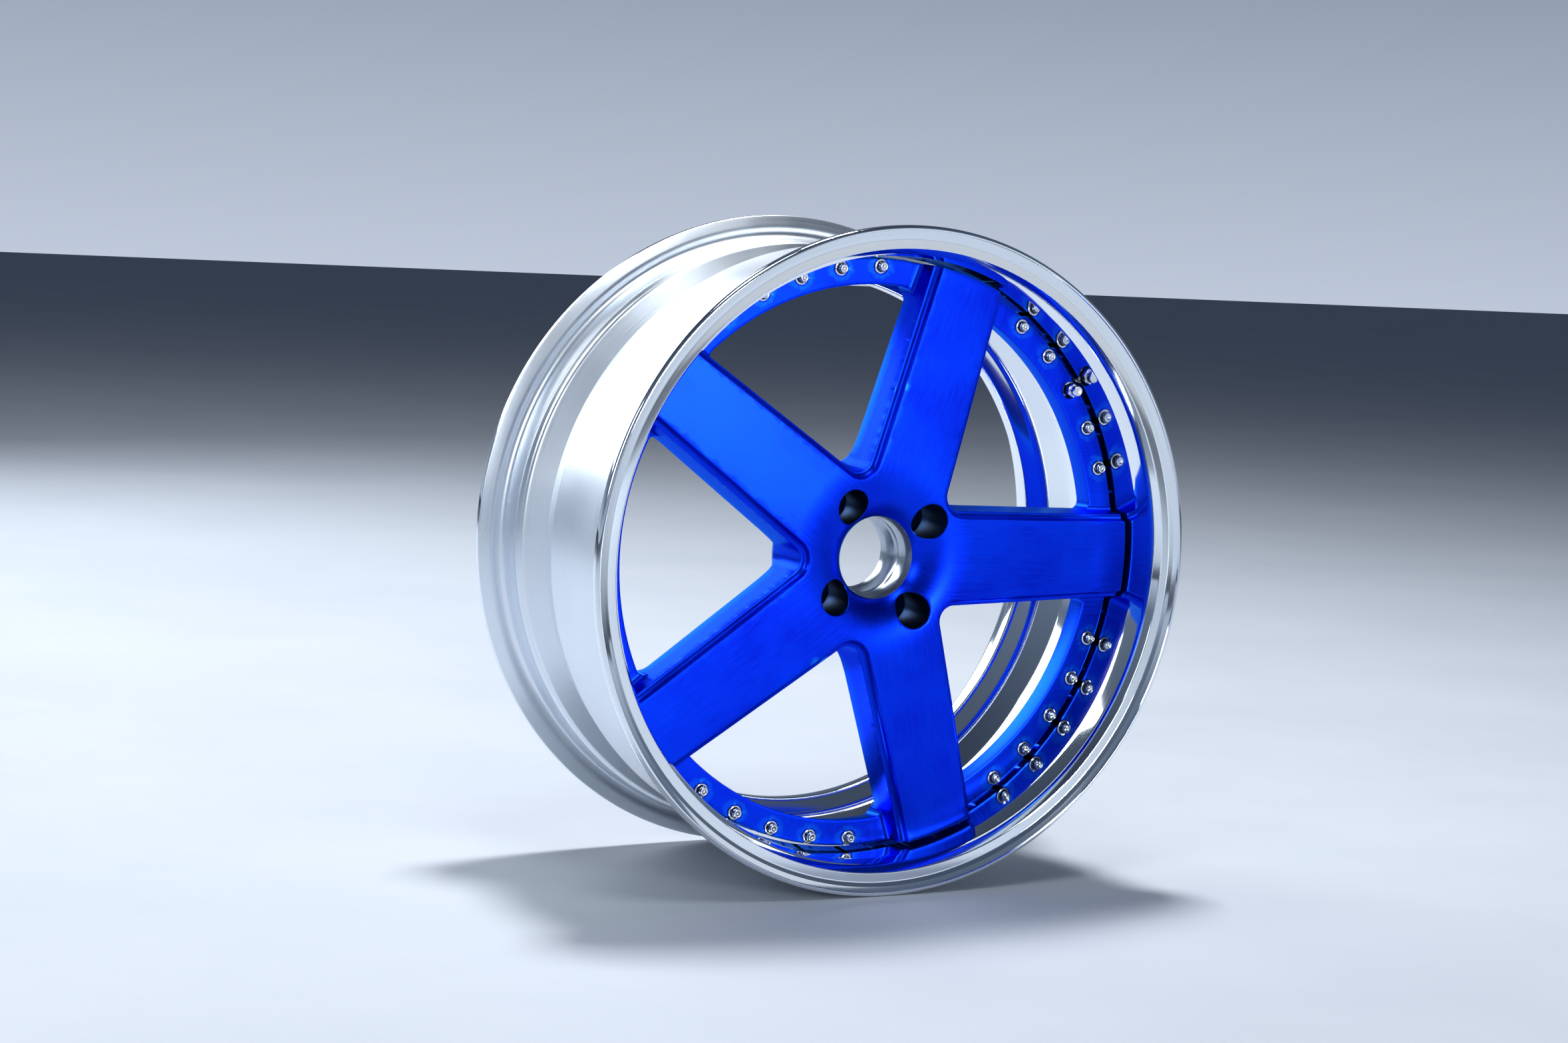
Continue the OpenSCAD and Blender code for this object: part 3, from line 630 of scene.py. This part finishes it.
def add_front(shell, bolts):
    """The disc's front as triangles, with the holes and windows left open."""
    loops = [circle(CENTRE, BOWL_R, 160), circle(CENTRE, DISC_R, 900), circle(CENTRE, DISC_R - 0.4, 720),
             circle(CENTRE, DISC_R - DISC_ROUND, 720)]
    lines = []
    for k in range(5):
        for grow in (0.0, 0.15, 0.45, CHAMFER):
            outline = window_outline(WALL_E - grow, WINDOW_R + grow, CORNER_R + grow)
            loops.append(turned_by(outline, k * PITCH))
        for e in (*step_e[:-1], STEP_W, *fillet_e[1:]):
            lines.append(turned_by(edge_line(float(e)), k * PITCH))
    for c in LUGS:
        loops += [circle(c, LUG_R + grow, 72) for grow in (0.0, 0.12, 0.35, LUG_ROUND)]
    loops += [circle(c, SPOT_R, 40) for c in bolts]
    loops += [circle(VALVE, VALVE_HOLE_R + grow, 48) for grow in (0.0, 0.2, VALVE_ROUND)]

    # loose points that fill the face and the ring, clear of every line and hole
    p = np.array(spaced_circles(np.arange(34, 84, 2.0), 2.6) + spaced_circles(np.arange(86, 230, 5.0), 5.0)
                 + [q for r in (213.5, 216.2, 219, 228, 229.4) for q in circle(CENTRE, r, 420)])
    x, z = p.T
    e = past_edge(x, z)
    clear = (e < -1.6) | ((e > 11.2) & (np.hypot(x, z) > WINDOW_R + 1.8))
    for c in LUGS:
        clear &= away(x, z, c) > LUG_R + 1.4
    for c in [*bolts, VALVE]:
        clear &= away(x, z, c) > SPOT_R + 2

    # a facet's middle lies a little inside its circle
    def metal(x, z):
        r = np.hypot(x, z)
        ok = (r > BOWL_R - 0.01) & (r < DISC_R) & (outside_window(x, z, *WINDOW) > 0)
        for c in LUGS:
            ok &= away(x, z, c) > LUG_R * 0.9985
        for c in bolts:
            ok &= away(x, z, c) > SPOT_R * 0.996
        return ok & (away(x, z, VALVE) > VALVE_HOLE_R * 0.997)

    co, tris = triangulated(loops, lines, [tuple(q) for q in p[clear]], metal)
    shell.add(np.column_stack([co, top_reach(*co.T)]), tris.tolist())


def front_edges(shell, bolts):
    """The front's open edges under "rim", "bore", "windows" or the centre of their hole."""
    holes = [(c, LUG_R + 0.3) for c in LUGS] + [(c, SPOT_R + 0.3) for c in bolts]
    holes.append((VALVE, VALVE_HOLE_R + 0.4))
    found = {}
    for edge in shell.open_edges():
        x, z, _ = np.mean([shell.verts[i] for i in edge], axis=0)
        if math.hypot(x, z) > DISC_R - 0.3:
            key = "rim"
        elif math.hypot(x, z) < BOWL_R + 0.5:
            key = "bore"
        else:
            key = next((c for c, size in holes if away(x, z, c) < size), "windows")
        found.setdefault(key, []).append(edge)
    return found


def wall_move(grow, lift):
    """A move down a window's wall, which draws in beside the spokes and opens out behind the ring."""
    draw_in, open_out, d = 1.0, 3.0, 0.02

    def move(v):
        x, z = v[0], v[1]
        g = np.array([outside_window(x + d, z, *WINDOW) - outside_window(x - d, z, *WINDOW),
                      outside_window(x, z + d, *WINDOW) - outside_window(x, z - d, *WINDOW)], float)
        g /= max(np.linalg.norm(g), 1e-9)
        facing = float(g @ np.array((x, z))) / math.hypot(x, z)
        w = min(max((facing - 0.1) / 0.75, 0), 1)
        w = w * w * (3 - 2 * w)
        off = -draw_in * (1 - w) + open_out * w + grow
        x, z = x + g[0] * off, z + g[1] * off
        return x, z, float(back_reach(math.hypot(x, z))) + lift
    return move


def add_window_walls(shell, windows):
    """The windows' walls and their rounded rear edges, and the new open edges at the back."""
    first = shell.skirt(windows, wall_move(0.0, 0.9))
    top = {low: high for pair, new in zip(windows, first) for high, low in zip(pair, new)}
    second = shell.skirt(first, lambda v: v)
    rear = wall_move(0.75, 0.0)
    placed = {new: old for pair, news in zip(first, second) for old, new in zip(pair, news)}
    for new, old in placed.items():
        shell.verts[new] = rear(shell.verts[top[old]])
    return second


def closed_loops(edges):
    """The plan outlines that these edges run round."""
    following = dict(edges)
    left, loops = set(following), []
    while left:
        loop, v = [], min(left)
        while v in left:
            left.discard(v)
            loop.append(v)
            v = following[v]
        loops.append(loop)
    return loops


def add_back(shell, window_edges):
    """The disc's back from the pad to the spigot, and its outermost open edges."""
    windows = [[shell.verts[i][:2] for i in loop] for loop in closed_loops(window_edges)]
    loops = windows + [circle(CENTRE, BORE_REAR_R, 160)]
    loops += [circle(CENTRE, r, 240) for r in BACK[1:4, 0]] + [circle(CENTRE, BACK_RIM_R, 480)]
    loops += [circle(c, PAD_HOLE_R, 72) for c in LUGS]
    polygons = [np.array(loop) for loop in windows]

    ring_back = (198, 200.5, 202, 203.5, 205, 207, 209, 210.5, 212.5)
    p = np.array(spaced_circles((36, 44, 52, 60, 73, 74.5, 76.5, 79, 82, 86, 92), 3.2)
                 + spaced_circles(np.arange(98, 198, 6.0), 6.0)
                 + [q for r in ring_back for q in circle(CENTRE, r, 460)])
    x, z = p.T
    clear = outside_window(x, z, WALL_E + 1, WINDOW_R - 1, CORNER_R) > 1.2
    clear &= ~((np.hypot(x, z) > 208) & (past_edge(x, z) > 3))
    for c in LUGS:
        clear &= away(x, z, c) > LUG_HOLE_R + 2
    for poly in polygons:
        clear &= ~inside(poly, x, z)

    def metal(x, z):
        r = np.hypot(x, z)
        ok = (r > BORE_REAR_R - 0.01) & (r < BACK_RIM_R)
        for c in LUGS:
            ok &= away(x, z, c) > PAD_HOLE_R - 0.01
        for poly in polygons:
            ok &= ~inside(poly, x, z)
        return ok

    co, tris = triangulated(loops, [], [tuple(q) for q in p[clear]], metal)
    shell.add(np.column_stack([co, back_reach(np.hypot(*co.T))]), tris[:, ::-1].tolist())
    return [(a, b) for f in shell.faces[-len(tris):] for a, b in zip(f, f[1:] + f[:1])
            if min(math.hypot(*shell.verts[i][:2]) for i in (a, b)) > BACK_RIM_R - 0.01]


def build_disc():
    # slot 1 is the bore's metal and slot 2 the lug wells' and valve hole's metal, both darkened as painted
    # shade
    bare_shaded, well = 1, 2
    bolts = [place for place, _ in bolt_places()]
    shell = Shell()
    add_front(shell, bolts)
    edges = front_edges(shell, bolts)
    shell.sink(edges["rim"], [(DISC_R, SEAT_REACH)])
    # the bare centre bore, darkened as painted shade: recess, groove, shoulder and bore
    shell.sink(edges["bore"], (
        (32.2, 70.0), (30.75, 64.4), (30.5, 63.8), (30.5, 53.4), (31.3, 52.6), (31.3, 51.0), (30.5, 50.2),
        (30.5, 46.3), (30.3, 45.9), (28.25, 38.0), (28.05, 37.4), (28.05, 29.0), (BORE_REAR_R, PAD_REACH),
    ), mat=bare_shaded)
    # lug wells with their cone seats, in dark metal that paints the shade inside them
    for c in LUGS:
        row = shell.sink(edges[c], (
            (LUG_R, 44.6), (LUG_R - 0.9, 43.7), (LUG_R - 1.5, 43.6), (LUG_HOLE_R + 0.2, 35.1),
            (LUG_HOLE_R, 34.8), (LUG_HOLE_R, PAD_REACH + 0.6),
        ), c, well)
        shell.sink(row, [(PAD_HOLE_R, PAD_REACH)], c)
    spot_face = ((SPOT_R, BOLT_SEAT + 0.15), (SPOT_FLOOR_R, BOLT_SEAT), (BOLT_HOLE_R, BOLT_SEAT))
    for c in bolts:
        shell.sink(edges[c], spot_face, c)
    # the valve hole's wall has the lug wells' dark painted shade
    shell.sink(edges[VALVE], [(VALVE_HOLE_R, SEAT_REACH)], VALVE, well)
    outer = add_back(shell, add_window_walls(shell, edges["windows"]))
    shell.sink(outer, ((SPIGOT_R, SPIGOT_REAR + 0.6), (SPIGOT_R, SEAT_REACH), (DISC_R, SEAT_REACH)))
    piece = shell.build("centre_disc_shape", [BLUE, BARE_PAINTED_SHADE, WELL_PAINTED_SHADE], "wheel", "disc_blue", 28, weld=True)
    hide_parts("centre_disc", "disc_hub")


# ---------------------------------------------------------------- bolts and nuts
def bolt_places():
    """Place and window number of each assembly bolt. The valve has the first window's middle place."""
    angles = [(HALF * (2 * w - 1) + p * HALF / 4, w)
              for w in range(1, 6) for p in (-2, -1, 0, 1, 2) if w > 1 or p != 0]
    return [((BOLT_R * math.cos(a), BOLT_R * math.sin(a)), w) for a, w in angles]


def twelve(a):
    """Radius of a twelve-point head at an angle, against its points' radius."""
    notch = math.cos(math.radians(30)) / math.cos(math.radians(15))
    part = (a / math.radians(30)) % 1
    # crossing of the ray with the side between a point and the notch beside it
    to_notch = math.radians(15)
    x2, y2 = notch * math.cos(to_notch), notch * math.sin(to_notch)
    th = min(part, 1 - part) * 2 * to_notch
    return y2 / (math.sin(th) * (1 - x2) + math.cos(th) * y2)


def hexagon(a):
    """Radius of a hexagon at an angle, against its corners' radius."""
    return math.cos(math.pi / 6) / math.cos((a + math.pi / 6) % (math.pi / 3) - math.pi / 6)


def add_bolt(shell, c, spin):
    """A flanged twelve-point bolt: its head from the seat up, and its threaded end behind the nut."""
    def point(a):
        return twelve(a + spin)

    # slot 1, the dark side steel, paints shade on the twelve-point sides
    side = 1
    low, top, tail = BOLT_SEAT, BOLT_SEAT + HEAD_H, LEDGE_REAR - TAIL_LEN
    shell.turn(c, 48, ((3.5, low), (5.75, low), (5.9, low + 0.2), (5.85, low + 0.75), (5.6, low + 1.2),
                       (5.1, low + 1.45), (4.5, low + 1.5)))
    shell.turn(c, 72, ((4.3, low + 1.5, point), (4.3, top - 2.1, point), (4.12, top - 1.72, point),
                       (3.35, top - 1.6)), side)
    shell.turn(c, 36, ((3.25, top - 1.6), (3.25, top - 0.35), (3.1, top - 0.1), (2.8, top), (2.15, top),
                       (1.9, top - 0.12), (0.9, top - 0.72), (0.5, top - 0.78)), cap_end=True)
    thread = [(2.9, tail), (3.3, tail + 0.45)]
    for k in range(5):
        thread += [(3.48, tail + 0.6 + 0.7 * k), (3.1, tail + 0.95 + 0.7 * k)]
    shell.turn(c, 30, [*thread, (3.48, tail + 4.2)], cap_start=True)


def add_nut(shell, c, spin):
    """A flanged hexagon nut on the ledge's back."""
    def six(a):
        return hexagon(a + spin)

    foot, end = LEDGE_REAR, LEDGE_REAR - NUT_H
    shell.turn(c, 72, ((3.55, end + 0.4), (3.85, end), (4.9, end), (5.55, end + 0.45, six),
                       (5.77, end + 1.0, six), (5.77, foot - 1.55, six)))
    shell.turn(c, 72, ((5.2, foot - 1.6), (5.95, foot - 1.5), (6.25, foot - 0.55), (6.28, foot - 0.15),
                       (6.15, foot)))


def build_bolts():
    for window in range(1, 6):
        heads, nuts = Shell(), Shell()
        for number, (c, w) in enumerate(bolt_places()):
            if w == window:
                spin = 0.35 + 1.7 * number  # no two heads are turned alike
                add_bolt(heads, c, spin)
                add_nut(nuts, c, spin)
        piece = heads.build(f"bolt_heads_{window}", [CHROME, BOLT_SIDE_SHADE], "wheel", "bolt_chrome", 26)
        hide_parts(f"assembly_bolts_{window}")
        piece = nuts.build(f"bolt_nuts_{window}", [ZINC], "wheel", "nut_steel", 26)
        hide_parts(f"assembly_nuts_{window}")


# ---------------------------------------------------------------- tyre valve
STEM_FOOT = SEAT_REACH + 1
STEM_TIP = SEAT_REACH + STEM_LEN


def build_stem():
    foot, tip, corner = STEM_FOOT, STEM_TIP, COLLAR_AF * TO_CORNER
    top, end = foot + COLLAR_H, foot - STEM_FOOT_LEN
    stem = Shell()
    stem.turn(VALVE, 72, ((4.1, foot), (4.9, foot), (corner - 0.35, foot + 0.05, hexagon),
                          (corner, foot + 0.4, hexagon), (corner, top - 0.6, hexagon),
                          (5.1, top - 0.05), (4.8, top), (3.6, top)))
    thread = [(3.55, top), (3.55, top + 0.8)]
    h = top + 1.0
    while h < tip - 1.2:
        thread += [(3.84, h), (3.84, h + 0.12), (3.5, h + 0.42), (3.5, h + 0.5)]
        h += 0.794
    thread += [(3.8, tip - 0.6), (3.4, tip), (2.85, tip), (2.6, tip - 0.25)]
    # the core's own thread inside, and the passage to the stem's foot
    h = tip - 1.0
    while h > tip - 6:
        thread += [(2.6, h), (2.75, h - 0.25), (2.6, h - 0.5)]
        h -= 0.7
    stem.turn(VALVE, 48, [*thread, (2.6, tip - 15), (2.0, tip - 15), (2.0, end + 0.5)])
    stem.turn(VALVE, 48, ((2.0, end), (3.8, end), (4.1, end + 0.3), (4.1, foot)))
    piece = stem.build("valve_stem_shape", [VALVE_METAL], "wheel", "valve_metal", 26)
    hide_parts("valve_stem")


def build_cap():
    low, corner = STEM_TIP - CAP_GRIP, CAP_AF * TO_CORNER
    high = low + CAP_HEX_LEN
    end = high + CAP_END_LEN
    cap = Shell()
    cap.turn(VALVE, 72, ((3.9, low + 0.5), (4.15, low), (4.75, low), (corner - 0.15, low + 0.35, hexagon),
                         (corner, low + 0.8, hexagon), (corner, high - 0.8, hexagon),
                         (corner - 0.2, high - 0.3, hexagon), (4.6, high), (3.75, high)))
    cap.turn(VALVE, 72, ((3.75, high), (3.75, high + 0.7), (4.0, high + 0.95), (4.1, high + 1.3),
                         (4.1, end - 0.7), (3.95, end - 0.3), (3.6, end), (1.9, end), (1.6, end - 0.12)),
             cap_end=True)
    cap.turn(VALVE, 48, ((3.85, STEM_TIP + 0.2), (3.9, STEM_TIP + 0.1), (3.9, low + 0.5)), cap_start=True)
    piece = cap.build("valve_cap_shape", [CAP_METAL], "cap", "cap_metal", 26)
    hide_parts("valve_cap")


def build_spring():
    """The core's spring as a coil in the CAD part's box; in the valve its inner end stays in the stem and its
    outer end follows the pin.
    """
    near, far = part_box("valve_core_spring")
    low, high = -far[1] * 1000, -near[1] * 1000
    wire, coil, turns, sides = 0.19, 1.2, 5, 10
    steps = 28 * turns
    points = []
    for i in range(steps + 1):
        a = 2 * math.pi * turns * i / steps
        middle = low + wire + (high - low - 2 * wire) * i / steps
        for b in (2 * math.pi * j / sides for j in range(sides)):
            r = coil + wire * math.cos(b)
            points.append((r * math.cos(a) + VALVE[0], r * math.sin(a) + VALVE[1], middle + wire * math.sin(b)))
    shell = Shell()
    shell.loft([points[i * sides:(i + 1) * sides] for i in range(steps + 1)])
    shell.faces.append(tuple(range(sides)))
    shell.faces.append(tuple(steps * sides + j for j in range(sides - 1, -1, -1)))
    shell.mats += [0, 0]
    piece = shell.build("core_spring_shape", [STEEL], None, "spring_steel", 50, outwards=True)
    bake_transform(piece)
    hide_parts("valve_core_spring")


build_barrel()
build_disc()
build_bolts()
build_stem()
build_cap()
build_spring()

for name, mat in (
    ("valve_base_seal", RUBBER), ("valve_core_body", BRASS), ("valve_core_seal", PTFE),
    ("valve_core_pin", BRASS), ("valve_core_cup", RUBBER), ("valve_cap_seal", RUBBER),
):
    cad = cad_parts[name]
    cad.data.materials.clear()
    cad.data.materials.append(mat)

# ---------------------------------------------------------------- floor, light and camera
FLOOR_Z, FLOOR_SIZE, FLOOR_CELLS = -0.2588, 28.0, 24
CAMERA_AT = Vector((-1.2578, -2.2313, 0.2817))
CAMERA_RIGHT, CAMERA_UP = Vector((0.87989, -0.47194, 0.05538)), Vector((0, 0.11655, 0.99319))
LENS, SENSOR = 74.35, 36
# name, place, width and height in metres, watts, colour
LIGHTS = (
    ("key", (0.45, 0.75, 3.2), 0.6, 0.6, 165, (1, 1, 1)),
    ("back", (-0.8, 2.6, 1.25), 2.3, 1.4, 60, (0.92, 0.97, 1)),
    ("top", (-0.6, -1.1, 2.7), 0.9, 0.9, 26, (0.92, 0.97, 1)),
    ("left", (-2.5, -1.35, 1.1), 0.8, 1.1, 22, (0.92, 0.97, 1)),
    ("wide", (2.1, -2.6, 0.45), 1.7, 1.2, 4, (0.92, 0.96, 1)),
    ("front", (0.80, -3.3, 0.42), 0.45, 0.6, 38, (0.92, 0.98, 1)),
)


def build_floor():
    mesh = bpy.data.meshes.new("floor")
    n, row = FLOOR_CELLS, FLOOR_CELLS + 1
    verts = [((i / n - 0.5) * FLOOR_SIZE, (j / n - 0.5) * FLOOR_SIZE, FLOOR_Z)
             for j in range(row) for i in range(row)]
    corners = [j * row + i for j in range(n) for i in range(n)]
    mesh.from_pydata(verts, [], [(a, a + 1, a + row + 1, a + row) for a in corners])
    floor = bpy.data.objects.new("floor", mesh)
    scene.collection.objects.link(floor)
    mat, g = new_material("floor_pale")
    soft = g.noise(g.node("ShaderNodeTexCoord", "Object"), 3.0, 4.0, 0.6)
    g.surface(Base_Color=g.tinted(soft, (0.34, 0.375, 0.43), (0.42, 0.45, 0.50)), Roughness=0.75)
    mesh.materials.append(mat)


def build_light():
    """Six soft lights aimed at the wheel, and a world that darkens upwards from a pale horizon."""
    world = bpy.data.worlds.new("studio")
    scene.world = world
    world.use_nodes = True
    g = Graph(world.node_tree)
    split = g.nodes.new("ShaderNodeSeparateXYZ")
    g.feed(split.inputs[0], g.node("ShaderNodeTexCoord", "Generated"))
    up = g.ranged(split.outputs[2], -0.05, 0.9, 0.0, 1.0)
    sky = g.tinted(up, (0.56, 0.63, 0.76), (0.03, 0.042, 0.07), middle=(0.2, (0.13, 0.17, 0.24)))
    g.feed(g.nodes["Background"].inputs["Color"], sky)
    g.nodes["Background"].inputs["Strength"].default_value = 1.0
    for name, place, width, height, watts, colour in LIGHTS:
        data = bpy.data.lights.new(name, "AREA")
        data.shape = "RECTANGLE"
        data.size, data.size_y, data.energy, data.color = width, height, watts, colour
        light = bpy.data.objects.new(name, data)
        scene.collection.objects.link(light)
        light.location = place
        light.rotation_euler = (-Vector(place)).to_track_quat("-Z", "Y").to_euler()


def build_camera():
    data = bpy.data.cameras.new("camera")
    data.lens, data.sensor_width = LENS, SENSOR
    camera = bpy.data.objects.new("camera", data)
    scene.collection.objects.link(camera)
    back = CAMERA_RIGHT.cross(CAMERA_UP).normalized()
    up = back.cross(CAMERA_RIGHT).normalized()
    turn = Matrix((CAMERA_RIGHT, up, back)).transposed().to_4x4()
    camera.matrix_world = Matrix.Translation(CAMERA_AT) @ turn
    scene.camera = camera


build_floor()
build_light()
build_camera()
scene.view_settings.view_transform = "Standard"
